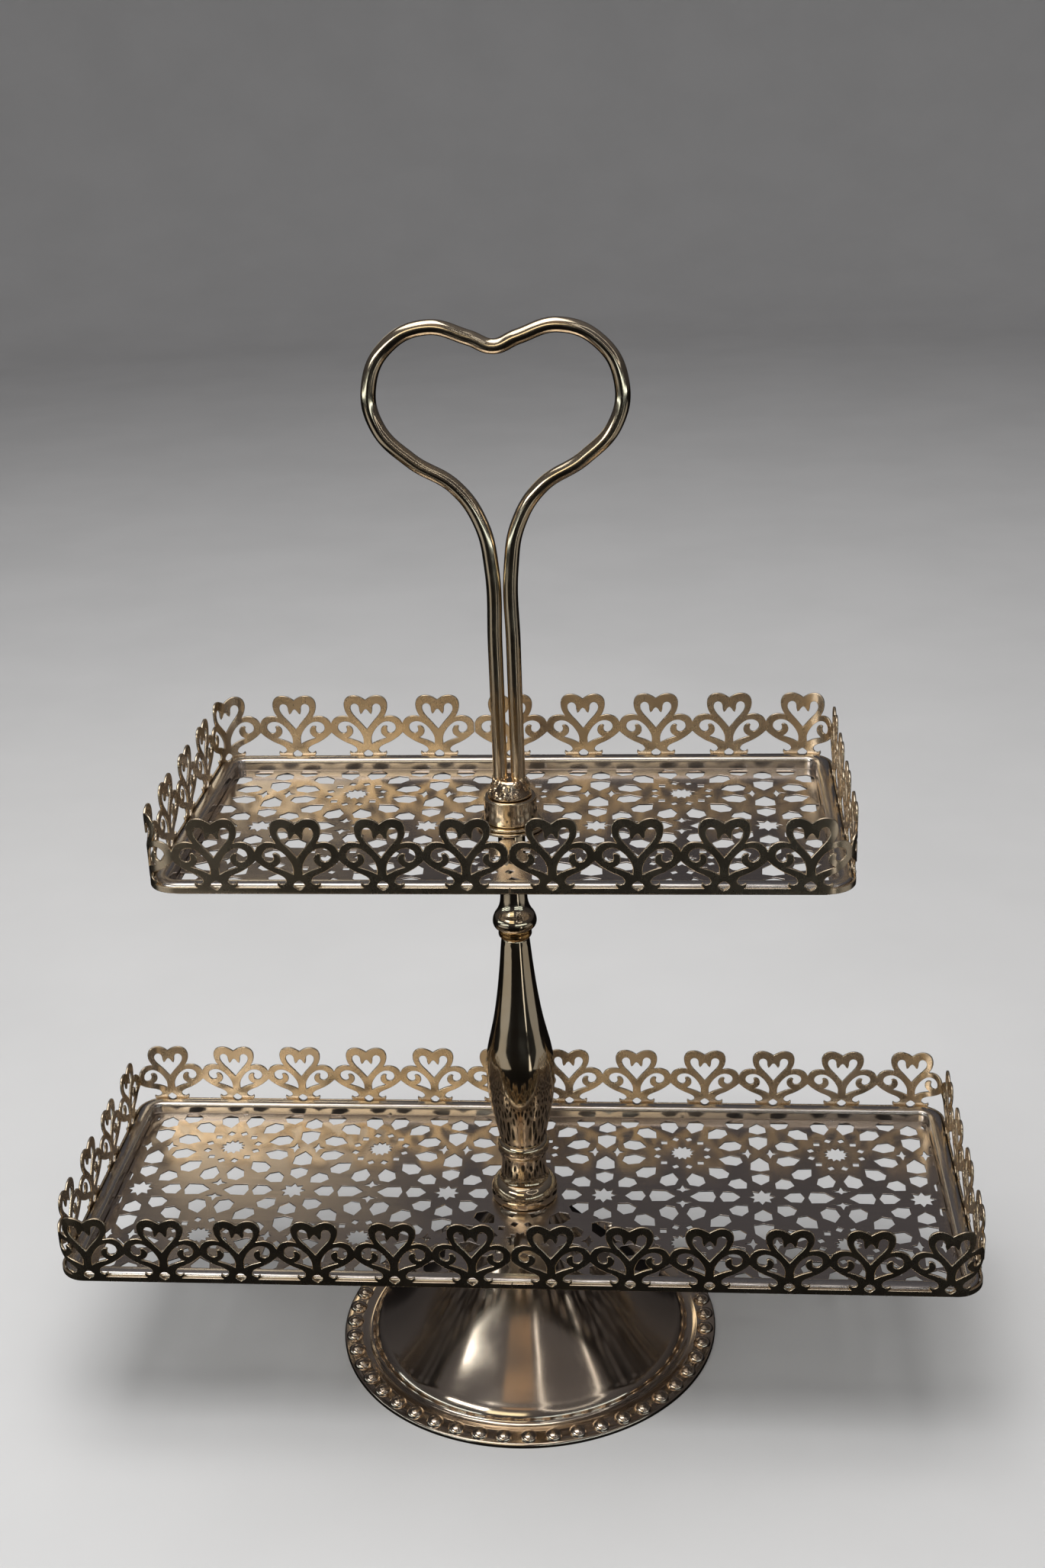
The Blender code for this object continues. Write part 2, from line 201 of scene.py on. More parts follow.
def plate(outlines, thickness, rounding):
    """A plate about Z = 0 with rounded edges: first its outline, anticlockwise, then its holes, clockwise."""
    solid = bmesh.new()
    loops = [[Vector(p) for p in outline] for outline in outlines]
    insets = [inset(loop, rounding) for loop in loops]
    flat, faces = [], []
    for number, loop in enumerate(insets):
        ids = list(range(len(flat), len(flat) + len(loop)))
        faces.append(ids if number == 0 else ids[::-1])
        flat += loop
    points, _, triangles, _, _, owners = delaunay_2d_cdt(flat, [], faces, 1, 0.00001)
    half = thickness / 2
    for side in (1, -1):
        verts = level(solid, points, side * half)
        for triangle, owner in zip(triangles, owners):
            if list(owner) == [0]:
                corners = [verts[i] for i in triangle]
                solid.faces.new(corners if side == 1 else corners[::-1])
    for loop, moved in zip(loops, insets):
        middle = inset(loop, rounding * 0.3)
        upper = ((moved, half), (middle, half - rounding * 0.48), (loop, half - rounding * 1.05))
        levels = upper + tuple((line, -z) for line, z in reversed(upper))
        rings = [level(solid, line, z) for line, z in levels]
        for upper, lower in zip(rings, rings[1:]):
            for i in range(len(upper)):
                j = (i + 1) % len(upper)
                solid.faces.new((upper[i], lower[i], lower[j], upper[j]))
    bmesh.ops.remove_doubles(solid, verts=solid.verts, dist=WELD * MM)
    loose = [v for v in solid.verts if not v.link_faces]
    bmesh.ops.delete(solid, geom=loose, context="VERTS")
    return solid


# ---------------------------------------------------------------- metals
class Shader:
    """A principled metal with the few nodes that all of its kind share."""

    def __init__(self, name):
        self.material = bpy.data.materials.new(name)
        self.material.use_nodes = True
        self.tree = self.material.node_tree
        self.out = self.tree.nodes["Principled BSDF"]
        self.out.inputs["Metallic"].default_value = 1
        self.coordinates = self.tree.nodes.new("ShaderNodeTexCoord").outputs["Object"]

    def add(self, kind, **values):
        made = self.tree.nodes.new("ShaderNode" + kind)
        for name, value in values.items():
            if hasattr(made, name):
                setattr(made, name, value)
            else:
                made.inputs[name.replace("_", " ")].default_value = value
        return made

    def link(self, source, target):
        self.tree.links.new(source, target)

    def stretched(self, scale):
        made = self.add("Mapping")
        made.inputs["Scale"].default_value = scale
        self.link(self.coordinates, made.inputs["Vector"])
        return made.outputs["Vector"]

    def noise(self, scale, detail=3.0, where=None, roughness=0.55):
        made = self.add("TexNoise", Scale=scale, Detail=detail, Roughness=roughness)
        self.link(where or self.coordinates, made.inputs["Vector"])
        return made.outputs["Fac"]

    def rings(self, period, distortion=0.0):
        """Fine turning lines round Z, this many metres apart."""
        made = self.add("TexWave", wave_type="RINGS", rings_direction="Z")
        made.inputs["Scale"].default_value = TAU / (20 * period)
        made.inputs["Distortion"].default_value = distortion
        made.inputs["Detail"].default_value = 2
        made.inputs["Detail Scale"].default_value = 0.02
        self.link(self.coordinates, made.inputs["Vector"])
        return made.outputs["Fac"]

    def bands(self, period, distortion=0.0):
        """Fine lines across Z."""
        made = self.add("TexWave", wave_type="BANDS", bands_direction="Z")
        made.inputs["Scale"].default_value = TAU / (20 * period)
        made.inputs["Distortion"].default_value = distortion
        self.link(self.coordinates, made.inputs["Vector"])
        return made.outputs["Fac"]

    def spread(self, value, low, high, start=0.35, end=0.65):
        made = self.add("MapRange")
        made.inputs["From Min"].default_value = start
        made.inputs["From Max"].default_value = end
        made.inputs["To Min"].default_value = low
        made.inputs["To Max"].default_value = high
        self.link(value, made.inputs["Value"])
        return made.outputs["Result"]

    def mix(self, share, first, second):
        """A colour between two, each a tuple or the output of a node."""
        made = self.tree.nodes.new("ShaderNodeMix")
        made.data_type = "RGBA"
        for value, socket in ((share, made.inputs[0]), (first, made.inputs[6]), (second, made.inputs[7])):
            if isinstance(value, tuple):
                socket.default_value = (*value, 1)
            elif isinstance(value, float):
                socket.default_value = value
            else:
                self.link(value, socket)
        return made.outputs[2]

    def maths(self, operation, first, second):
        made = self.add("Math", operation=operation)
        for value, socket in zip((first, second), made.inputs):
            if isinstance(value, float):
                socket.default_value = value
            else:
                self.link(value, socket)
        return made.outputs["Value"]

    def bump(self, height, distance, strength=1.0, below=None):
        made = self.add("Bump", Strength=strength, Distance=distance)
        self.link(height, made.inputs["Height"])
        if below is not None:
            self.link(below, made.inputs["Normal"])
        return made.outputs["Normal"]

    def colour(self, output):
        self.link(output, self.out.inputs["Base Color"])

    def roughness(self, output):
        self.link(output, self.out.inputs["Roughness"])

    def normal(self, output):
        self.link(output, self.out.inputs["Normal"])


WORN = (0.86, 0.78, 0.62)


def plated(name, light, dark, rough=(0.09, 0.2), ripple=0.00002, scale=1.0, wear=1.0):
    """Polished plate: colour drift, smudges, fine scratches and the faint waves of hand polish."""
    made = Shader(name)
    drift = made.spread(made.noise(45 * scale, 4), 0.0, 1.0)
    speckle = made.spread(made.noise(900, 2), 0.0, 0.35 * wear, 0.55, 0.75)
    tone = made.mix(drift, light, dark)
    made.colour(made.mix(speckle, tone, WORN))
    smudge = made.spread(made.noise(70 * scale, 5, roughness=0.7), *rough)
    scratch = made.noise(1500, 2, made.stretched((1, 1, 0.06)))
    made.roughness(made.maths("ADD", smudge, made.spread(scratch, 0.0, 0.05 * wear, 0.5, 0.8)))
    waves = made.bump(made.noise(110 * scale, 2), ripple)
    made.normal(made.bump(scratch, 0.000004 * wear, 0.5, waves))
    return made.material


GOLD = (0.86, 0.72, 0.52)
GOLD_DEEP = (0.80, 0.63, 0.41)

POLISHED = plated("polished_gold_plate_fine", GOLD, GOLD_DEEP)
CAST = plated("polished_casting", GOLD, GOLD_DEEP, rough=(0.06, 0.11), ripple=0.000008, wear=0.4)
PRESSED = plated(
    "pressed_strip", (0.86, 0.71, 0.52), (0.82, 0.65, 0.44), rough=(0.24, 0.3), ripple=0.00001, wear=0.3
)
ROLLED = plated(
    "rolled_frame", (0.86, 0.80, 0.74), (0.82, 0.75, 0.67), rough=(0.2, 0.26), ripple=0.000005, wear=0.2
)
AMBER = plated("amber_ring", (0.78, 0.47, 0.17), (0.55, 0.29, 0.10), rough=(0.12, 0.3), scale=3.0)
BEAD = plated("embossed_beads", GOLD, GOLD_DEEP, rough=(0.08, 0.15), ripple=0.000004)
BRAZE = plated(
    "braze", (0.82, 0.70, 0.52), (0.74, 0.50, 0.28), rough=(0.08, 0.2), ripple=0.00012, scale=3.0
)


def spun():
    """The base: polished sheet with concentric turning lines from spinning."""
    made = Shader("spun_sheet")
    drift = made.spread(made.noise(22, 4), 0.0, 1.0)
    stain = made.spread(made.noise(320, 3), 0.0, 0.4, 0.6, 0.8)
    tone = made.mix(drift, (0.84, 0.71, 0.56), (0.78, 0.63, 0.47))
    made.colour(made.mix(stain, tone, (0.66, 0.50, 0.34)))
    lines = made.rings(0.00042, 1.5)
    smudge = made.spread(made.noise(40, 5), 0.09, 0.15)
    made.roughness(made.maths("ADD", smudge, made.spread(lines, 0.0, 0.03, 0, 1)))
    waves = made.bump(made.noise(30, 2), 0.00003)
    made.normal(made.bump(lines, 0.0000012, 0.5, waves))
    made.out.inputs["Anisotropic"].default_value = 0.5
    made.out.inputs["Anisotropic Rotation"].default_value = 0.25
    tangent = made.add("Tangent", direction_type="RADIAL", axis="Z")
    made.link(tangent.outputs["Tangent"], made.out.inputs["Tangent"])
    return made.material


def turned_neck():
    """Polished plate with the horizontal lines that a lathe leaves on a straight neck."""
    made = Shader("turned_neck")
    drift = made.spread(made.noise(60, 4), 0.0, 1.0)
    made.colour(made.mix(drift, GOLD, GOLD_DEEP))
    made.roughness(made.spread(made.noise(90, 5), 0.06, 0.13))
    lines = made.bands(0.00055, 0.6)
    made.normal(made.bump(lines, 0.000012, 0.7, made.bump(made.noise(150, 2), 0.00002)))
    return made.material


def satin():
    """The floors: finely brushed along the tray, greyer than the rest."""
    made = Shader("satin_gold_plate_fine")
    drift = made.spread(made.noise(16, 4), 0.0, 1.0)
    brush = made.noise(700, 3, made.stretched((0.03, 1, 1)))
    tone = made.mix(drift, (0.73, 0.64, 0.57), (0.68, 0.59, 0.51))
    made.colour(made.mix(made.spread(brush, 0.0, 0.25), tone, (0.80, 0.70, 0.60)))
    smudge = made.spread(made.noise(30, 4), 0.14, 0.20)
    made.roughness(made.maths("ADD", smudge, made.spread(brush, 0.0, 0.04)))
    waves = made.bump(made.noise(26, 2), 0.00008)
    made.normal(made.bump(brush, 0.000008, 0.5, waves))
    return made.material


def zinc():
    """Bright zinc plate on the rod, nut and washer inside the base."""
    made = Shader("zinc_plated_steel_fine")
    grain = made.noise(500, 4)
    made.colour(made.mix(made.spread(grain, 0.0, 1.0), (0.64, 0.65, 0.64), (0.50, 0.50, 0.49)))
    made.roughness(made.spread(made.noise(160, 4), 0.28, 0.42))
    made.normal(made.bump(grain, 0.00001, 0.6))
    return made.material


SPUN, NECK, SATIN, ZINC = spun(), turned_neck(), satin(), zinc()
GOLD_SLOT, SATIN_SLOT, STEEL_SLOT = "polished_gold_plate", "satin_gold_plate", "zinc_plated_steel"

# ---------------------------------------------------------------- the base
BEADS, BEAD_RING, BEAD_RADIUS, BEAD_RISE = 48, 81.3, 3.9, 2.7
RIM_TOP = 2.1
RIM_START = 77  # inside this radius the base is thin sheet


def offset_line(line, amount):
    """An open line moved to its own right."""
    moved = []
    for i, here in enumerate(line):
        run = (line[min(i + 1, len(line) - 1)] - line[max(i - 1, 0)]).normalized()
        moved.append(here + Vector((run.y, -run.x)) * amount)
    return moved


def base_profile():
    outside = smooth(
        [
            (13.2, NECK_TOP), (13.75, 68.7), (14.3, 67.6), (16.2, 64.6), (20, 59.8), (26.5, 52),
            (36, 41), (50, 26), (63, 12.6), (67.4, 8.6), (70.0, 6.3), (71.6, 4.0), (72.1, 2.5),
            (73.2, 1.55), (75.2, 1.35), (76.6, 1.75), (77.6, RIM_TOP), (79.0, RIM_TOP),
            (84.4, RIM_TOP), (85.6, 1.75), (86.0, 1.0), (86.0, 0),
        ],
        5,
    )  # fmt: skip
    sheet = [p for p in outside if p.x < RIM_START]
    inside = [Vector((p.x, max(p.y, 0.5))) for p in offset_line(sheet, BASE_SHEET)][::-1]
    inside = [p for p in inside if p.x > 12.2]
    under = [Vector((80.0, 0)), Vector((78.6, 0.6)), Vector((78.0, 1.1))]
    below_neck = NECK_TOP - BASE_SHEET
    ceiling = [Vector((12.3, below_neck)), Vector((BORE, below_neck)), Vector((BORE, NECK_TOP))]
    return outside + under + inside + ceiling


def pedestal_base():
    """The spun sheet, and its row of beads, whose faces take the second material."""
    solid = bmesh.new()
    turn_into(solid, [tuple(p) for p in base_profile()], 240)
    sunk, tip = 0.15, 0.02
    bead = [(tip, RIM_TOP + BEAD_RISE)]
    for k in range(1, 9):
        lean = TAU / 4 * k / 8
        bead.append((BEAD_RADIUS * math.sin(lean), RIM_TOP - sunk + (BEAD_RISE + sunk) * math.cos(lean)))
    bead += [(BEAD_RADIUS + sunk, RIM_TOP - 2 * sunk), (tip, RIM_TOP - 2 * sunk)]
    sheet_faces = set(solid.faces)
    for k in range(BEADS):
        angle = TAU * (k + 0.5) / BEADS
        centre = Vector((math.cos(angle), math.sin(angle), 0)) * (BEAD_RING * MM)
        turn_into(solid, bead, 24, Matrix.Translation(centre))
    for face in solid.faces:
        face.material_index = 0 if face in sheet_faces else 1
    return finished("base_sheet", solid, 40)


base_piece = show("base_sheet", pedestal_base(), SPUN, "base", GOLD_SLOT, "pedestal_base")
base_piece.data.materials.append(BEAD)


def washer(name, radius, bottom, thickness, material, body, slot, node):
    """A flat ring round the rod, with both outer edges rounded."""
    edge = min(0.35, thickness / 3)
    top = bottom + thickness
    line = filleted(
        [(BORE, bottom), (BORE, top), (radius, top, edge), (radius, bottom, edge), (BORE, bottom)], 4
    )[:-1]
    return show(name, turned(name, line, 96), material, body, slot, node)


washer("base_washer_plate", 9.0, 66.4, 1.5, ZINC, "base", STEEL_SLOT, "base_washer")


def nut_mesh():
    """A hexagon nut whose corners are turned off at 30 degrees above and below."""
    bottom, height, flats = 61.0, 5.0, 10.0
    levels = [0, 0.35, 0.7, 1.2, height / 2, height - 1.2, height - 0.7, height - 0.35, height]
    sides = 96
    solid = bmesh.new()
    rings = []
    for z in levels:
        limit = flats / 2 * 0.98 + min(z, height - z) / math.tan(math.radians(30))
        line = []
        for k in range(sides):
            angle = TAU * k / sides
            flat = flats / 2 / math.cos((angle + TAU / 12) % (TAU / 6) - TAU / 12)
            reach = min(flat, limit)
            line.append((reach * math.cos(angle), reach * math.sin(angle)))
        rings.append(level(solid, line, bottom + z))
    for z in (height - 0.4, height / 2, 0.4):
        rings.append(level(solid, circle(BORE, sides), bottom + z))
    bridge(solid, rings + rings[:1])
    return finished("base_hex_nut", solid, 25)


show("base_hex_nut", nut_mesh(), ZINC, "base", STEEL_SLOT, "base_nut")


def rod_mesh():
    """The rod, with an M6 thread of 1 mm pitch cut in both ends."""
    bottom, top, pitch, depth, sides = 58.0, 262.0, 1.0, 0.42, 32
    lower_end, upper_start, chamfer = 73.0, 245.0, 0.6
    heights = [bottom, bottom + 0.5]
    for low, high in ((bottom, lower_end), (upper_start, top)):
        steps = int((high - low) * 8)
        heights += [low + (high - low) * k / steps for k in range(steps + 1)]
    heights = sorted({round(z, 4) for z in heights})
    solid = bmesh.new()
    rings = []
    for z in heights:
        taper = max(0.0, chamfer - (z - bottom)) + max(0.0, chamfer - (top - z))
        fade = min(1.0, max(0.0, lower_end - z, z - upper_start))
        line = []
        for k in range(sides):
            angle = TAU * k / sides
            turn = (z / pitch - k / sides) % 1.0
            cut = depth * abs(turn - 0.5) * 2 * fade
            reach = ROD - cut - taper * 0.7
            line.append((reach * math.cos(angle), reach * math.sin(angle)))
        rings.append(level(solid, line, z))
    bridge(solid, rings)
    solid.faces.new(rings[0][::-1])
    solid.faces.new(rings[-1])
    return finished("threaded_rod", solid, 50)


show("threaded_rod", rod_mesh(), ZINC, "base", STEEL_SLOT, "tie_rod")


# ---------------------------------------------------------------- the column
def column_foot():
    """The low bun, its heights counted from its underside."""
    bottom = 70.3
    bun = smooth(
        [
            (9.6, 10.2, 1), (10.9, 10.15), (12.2, 9.5), (13.3, 8.4), (14.2, 6.7), (14.75, 4.8),
            (14.9, 3.0), (14.65, 1.4), (14.4, 0.4), (14.1, 0, 1),
        ],
        5,
    )  # fmt: skip
    line = [Vector((BORE, 10.2))] + bun + [Vector((BORE, 0))]
    return [(p.x, bottom + p.y) for p in line]


def column_vase():
    """From the top: long neck, belly, ring and spool. It is hollow."""
    outside = smooth(
        [
            (5.5, 199.9, 1), (5.85, 199.6), (6.1, 198.4), (6.45, 195.0), (7.1, 188.0), (8.0, 179.6),
            (9.3, 169.6), (11.0, 159.6), (12.6, 152.4), (13.9, 146.6), (14.75, 141.0), (15.05, 135.0),
            (15.0, 129.0), (14.45, 122.6), (13.3, 115.6), (11.9, 109.0), (10.8, 103.6), (10.2, 100.8),
            (10.1, 100.0, 1), (10.6, 99.8), (11.15, 99.1), (11.55, 97.9), (11.65, 96.6), (11.4, 95.2),
            (10.9, 94.1), (10.5, 93.5, 1), (10.2, 91.8), (10.0, 88.8), (10.15, 85.6), (10.5, 83.0),
            (11.0, 81.3), (11.2, 80.8, 1),
        ],
        4,
    )  # fmt: skip
    inside = [(8.2, 80.8), (7.4, 90.0), (7.6, 103.0), (11.6, 126.0), (11.4, 144.0), (4.0, 184.0)]
    return outside + [Vector(p) for p in inside] + [Vector((BORE, 186)), Vector((BORE, 199.9))]


def column_ring():
    """A plain ring with a shallow groove round its middle."""
    outside = smooth(
        [
            (6.8, 204.3, 1), (7.15, 204.1), (7.3, 203.5), (7.1, 202.6), (7.15, 201.8), (7.1, 201.0),
            (6.8, 200.4), (6.4, 200.2, 1),
        ],
        4,
    )  # fmt: skip
    return outside + [Vector((BORE, 200.2)), Vector((BORE, 204.3))]


def column_collar():
    """From the top: straight neck, ball and foot."""
    outside = smooth(
        [
            (5.7, 250.2, 1), (5.7, 240.0), (5.7, 226.0), (5.75, 220.0), (6.0, 216.6), (6.6, 214.2),
            (7.5, 212.3), (8.6, 210.6), (9.2, 209.0), (9.42, 207.4), (9.2, 206.1), (8.8, 205.2),
            (8.35, 204.75), (7.8, 204.6, 1),
        ],
        4,
    )  # fmt: skip
    return outside + [Vector((BORE, 204.6)), Vector((BORE, 250.2))]


for name, profile, material in (
    ("foot", column_foot(), CAST),
    ("vase", column_vase(), CAST),
    ("ring", column_ring(), AMBER),
    ("collar", column_collar(), NECK),
):
    mesh = turned(f"turned_{name}", profile, 112)
    show(f"turned_{name}", mesh, material, "column", GOLD_SLOT, f"column_{name}")


# ---------------------------------------------------------------- the pierced floors
def star(centre, outer, inner, points, start):
    """A star-shaped hole, in pattern units, anticlockwise."""
    line = []
    for k in range(2 * points):
        reach = (inner if k % 2 else outer) * UNIT
        angle = start + TAU * k / (2 * points)
        line.append((centre[0] + reach * math.cos(angle), centre[1] + reach * math.sin(angle)))
    return line


def figure(centre, angle, shape):
    """A symmetrical hole along an angle from a centre: (distance, half width) in pattern units."""
    right = [(a, -b) for a, b in shape]
    left = [(a, b) for a, b in reversed(shape) if b]
    cos, sin = math.cos(angle), math.sin(angle)
    return [
        (centre[0] + (a * cos - b * sin) * UNIT, centre[1] + (a * sin + b * cos) * UNIT)
        for a, b in right + left
    ]


SEAT = 12.5  # no hole lies nearer than this to the middle, where the column stands
SHEET_RIM = 0.4  # uncut sheet along the edge
SHORTEST_EDGE, LEAST_AREA = 0.15, 1.2  # of a hole that the edge has cut
STAR_POINT = math.radians(15)
SQUARE = ((0.302, 0), (0.362, 0.058), (0.422, 0))
PETAL = ((0.52, 0), (0.655, 0.122), (0.81, 0.112), (0.875, 0))
SMALL_PETAL = ((0.285, 0), (0.385, 0.113), (0.525, 0.122), (0.578, 0))
KITE = ((0.09, 0), (0.225, 0.122), (0.415, 0.132), (0.455, 0))
SPARK = ((0.09, 0), (0.13, 0.03), (0.155, 0.128), (0.19, 0.032), (0.275, 0))


def pattern(half_x):
    """Every hole of the star pattern over a floor of this half length, before the edge cuts it."""
    holes = []
    reach = int(half_x / LATTICE) + 2
    for i in range(-reach, reach + 1):
        for row in (-0.5, 0.5):
            centre = (i * LATTICE, row * LATTICE)
            holes.append(star(centre, 0.178, 0.126, 12, STAR_POINT))
            for k in range(12):
                angle = STAR_POINT + TAU * k / 12
                holes += [figure(centre, angle, SQUARE), figure(centre, angle, PETAL)]
            middle = ((i + 0.5) * LATTICE, row * LATTICE)
            for up in (1, -1):
                holes.append(figure(middle, up * TAU / 4, KITE))
                holes.append(figure(middle, TAU / 4 - up * TAU / 4, SPARK))
        for row in (-1, 0, 1):
            centre = ((i + 0.5) * LATTICE, row * LATTICE)
            holes.append(star(centre, 0.18, 0.112, 8, 0))
            holes += [figure(centre, TAU * k / 8, SMALL_PETAL) for k in range(8)]
            middle = (i * LATTICE, row * LATTICE)
            for side in (1, -1):
                holes.append(figure(middle, TAU / 4 - side * TAU / 4, KITE))
                holes.append(figure(middle, side * TAU / 4, SPARK))
    return holes


def clipped(shape, half_x, half_y, corner):
    """A convex hole cut by the floor's edge and its four bevelled corners."""
    limits = [((1, 0), half_x), ((-1, 0), half_x), ((0, 1), half_y), ((0, -1), half_y)]
    for sx in (1, -1):
        for sy in (1, -1):
            limits.append(((sx, sy), half_x + half_y - corner))
    for (nx, ny), limit in limits:
        kept = []
        for i, (x, y) in enumerate(shape):
            bx, by = shape[i - 1]
            here, before = nx * x + ny * y - limit, nx * bx + ny * by - limit
            if (here > 0) != (before > 0):
                t = before / (before - here)
                kept.append((bx + (x - bx) * t, by + (y - by) * t))
            if here <= 0:
                kept.append((x, y))
        shape = kept
        if len(shape) < 3:
            return []
    clean = [p for i, p in enumerate(shape) if math.dist(p, shape[i - 1]) > SHORTEST_EDGE]
    area = sum(clean[i - 1][0] * p[1] - p[0] * clean[i - 1][1] for i, p in enumerate(clean)) / 2
    return clean if len(clean) > 2 and area > LEAST_AREA else []


def rounded_rectangle(half_x, half_y, radius, steps):
    corners = []
    for turn, (sx, sy) in enumerate(((1, -1), (1, 1), (-1, 1), (-1, -1))):
        for i in range(steps + 1):
            angle = TAU / 4 * (turn - 1 + i / steps)
            x, y = sx * (half_x - radius), sy * (half_y - radius)
            corners.append((x + radius * math.cos(angle), y + radius * math.sin(angle)))
    return corners


def floor_mesh(name, length, depth, top):
    half_x, half_y = length / 2 - FLOOR_INSET, depth / 2 - FLOOR_INSET
    outlines = [rounded_rectangle(half_x, half_y, TRAY_CORNER - FLOOR_INSET, 8), circle(BORE, 32)[::-1]]
    for hole in pattern(half_x):
        middle = Vector((sum(p[0] for p in hole), sum(p[1] for p in hole))) / len(hole)
        if middle.length < SEAT:
            continue
        cut = clipped(hole, half_x - SHEET_RIM, half_y - SHEET_RIM, 2.6)
        if cut:
            outlines.append(cut[::-1])
    solid = plate(outlines, FLOOR_SHEET, FLOOR_ROUNDING)
    bmesh.ops.translate(solid, verts=solid.verts, vec=(0, 0, (top - FLOOR_SHEET / 2) * MM))
    return finished(name, solid, 30)


# ---------------------------------------------------------------- the frames
def frame_mesh(name, length, depth, floor):
    """The rolled frame: a round-topped bead outside, a wall inside, and a ledge under the floor.

    Its section is (distance inwards, height above the lower edge of the strips).
    """
    bead = smooth(
        [
            (0, 0, 1), (0, 1.3, 1), (0.12, 2.1), (0.55, 2.85), (1.25, 3.25), (2.2, 3.4), (3.9, 3.4),
            (4.9, 3.25), (5.7, 2.8), (6.1, 2.0), (6.2, 1.2, 1), (6.2, -2.4, 1), (6.3, -2.62),
            (6.55, -2.7, 1), (8.3, -2.7, 1),
        ],
        4,
    )  # fmt: skip
    below = [
        (8.3, -3.2), (5.4, -3.2), (5.4, 1.7), (5.0, 2.3), (4.0, 2.6), (2.2, 2.6), (1.2, 2.3), (0.8, 1.7),
        (0.8, 0),
    ]  # fmt: skip
    outer = STRIP_THICKNESS + GAP
    solid = bmesh.new()
    rings = []
    for inwards, height in [tuple(p) for p in bead] + below:
        line = rounded_rectangle(
            length / 2 - outer - inwards, depth / 2 - outer - inwards, TRAY_CORNER - outer - inwards, 14
        )
        rings.append(level(solid, line, floor + FLOOR_BELOW_STRIP + height))
    bridge(solid, rings + rings[:1])
    bmesh.ops.recalc_face_normals(solid, faces=solid.faces)
    return finished(name, solid, 35)


# ---------------------------------------------------------------- the heart galleries
# The right half of one motif, in motif widths: across from its middle, and up from the strip's lower edge.
# A 1 marks a corner.
HEART_TOP = 0.955
TOP_EDGE = (
    (0.5, 0.548, 1), (0.462, 0.612), (0.395, 0.652), (0.318, 0.661), (0.248, 0.646, 1), (0.284, 0.714),
    (0.303, 0.795), (0.298, 0.862), (0.266, 0.918), (0.212, 0.948), (0.146, HEART_TOP), (0.075, 0.936),
    (0, 0.890, 1),
)  # fmt: skip
WINDOW = (
    (0.236, 0.078, 1), (0.257, 0.098), (0.262, 0.124), (0.253, 0.148, 1), (0.215, 0.123), (0.178, 0.130),
    (0.153, 0.160), (0.168, 0.200), (0.22, 0.236), (0.30, 0.272), (0.38, 0.318), (0.45, 0.370),
    (0.5, 0.418, 1),
)  # fmt: skip
HEART_HOLE = (
    (0, 0.467, 1), (0.10, 0.590), (0.163, 0.662), (0.200, 0.722), (0.211, 0.775), (0.196, 0.815),
    (0.155, 0.836), (0.115, 0.822), (0.094, 0.785), (0.090, 0.735), (0.075, 0.685, 1), (0.050, 0.702),
    (0.030, 0.735), (0, 0.757),
)  # fmt: skip
SCROLL = (
    (0.060, 0.255, 1), (0.060, 0.345), (0.105, 0.445), (0.170, 0.522), (0.255, 0.573), (0.335, 0.573),
    (0.393, 0.535), (0.405, 0.480), (0.378, 0.432), (0.330, 0.410), (0.293, 0.425), (0.281, 0.460),
    (0.291, 0.503, 1), (0.266, 0.518), (0.222, 0.504), (0.197, 0.462), (0.201, 0.405), (0.232, 0.366),
    (0.272, 0.341, 1), (0.210, 0.322), (0.130, 0.292),
)  # fmt: skip
DIAMOND = ((0, 0.050, 1), (0.042, 0.076), (0.066, 0.108), (0.046, 0.137), (0, 0.165, 1))
CURVE_STEPS = 3
BEND_CUTS = 12  # the strip is bent this finely at a corner


def flipped(points):
    return [(-p[0], *p[1:]) for p in points]


def there_and_back(half):
    """A closed hole from its right half, clockwise: up the left side and down the right one."""
    return flipped(half) + [p for p in reversed(half) if p[0]]


def strip_outlines(motifs, pitch, height):
    """The outline and holes of a flat strip. Its motifs are a pitch wide, and motif widths are this high."""

    def laid(points, middle):
        return [((middle + p[0]) * pitch, p[1] * height, *p[2:]) for p in points]

    end = motifs * pitch
    band = WINDOW[0][1] * height
    line = [(0, 0, 1), (end, 0, 1), (end, band, 1)] + laid(WINDOW, motifs - 0.5)
    for number in reversed(range(motifs)):
        motif = list(TOP_EDGE) + flipped(TOP_EDGE[:-1])[::-1]
        line += laid(motif if number == motifs - 1 else motif[1:], number + 0.5)
    line += laid(flipped(WINDOW)[::-1], 0.5) + [(0, band, 1)]
    holes = []
    for number in range(motifs):
        middle = number + 0.5
        shapes = [there_and_back(HEART_HOLE), SCROLL, flipped(SCROLL)[::-1], there_and_back(DIAMOND)]
        holes += [laid(shape, middle) for shape in shapes]
        if number:
            holes.append(laid(WINDOW, number - 0.5) + laid(flipped(WINDOW[:-1])[::-1], middle))
    return [smooth(outline, CURVE_STEPS, closed=True) for outline in [line] + holes]


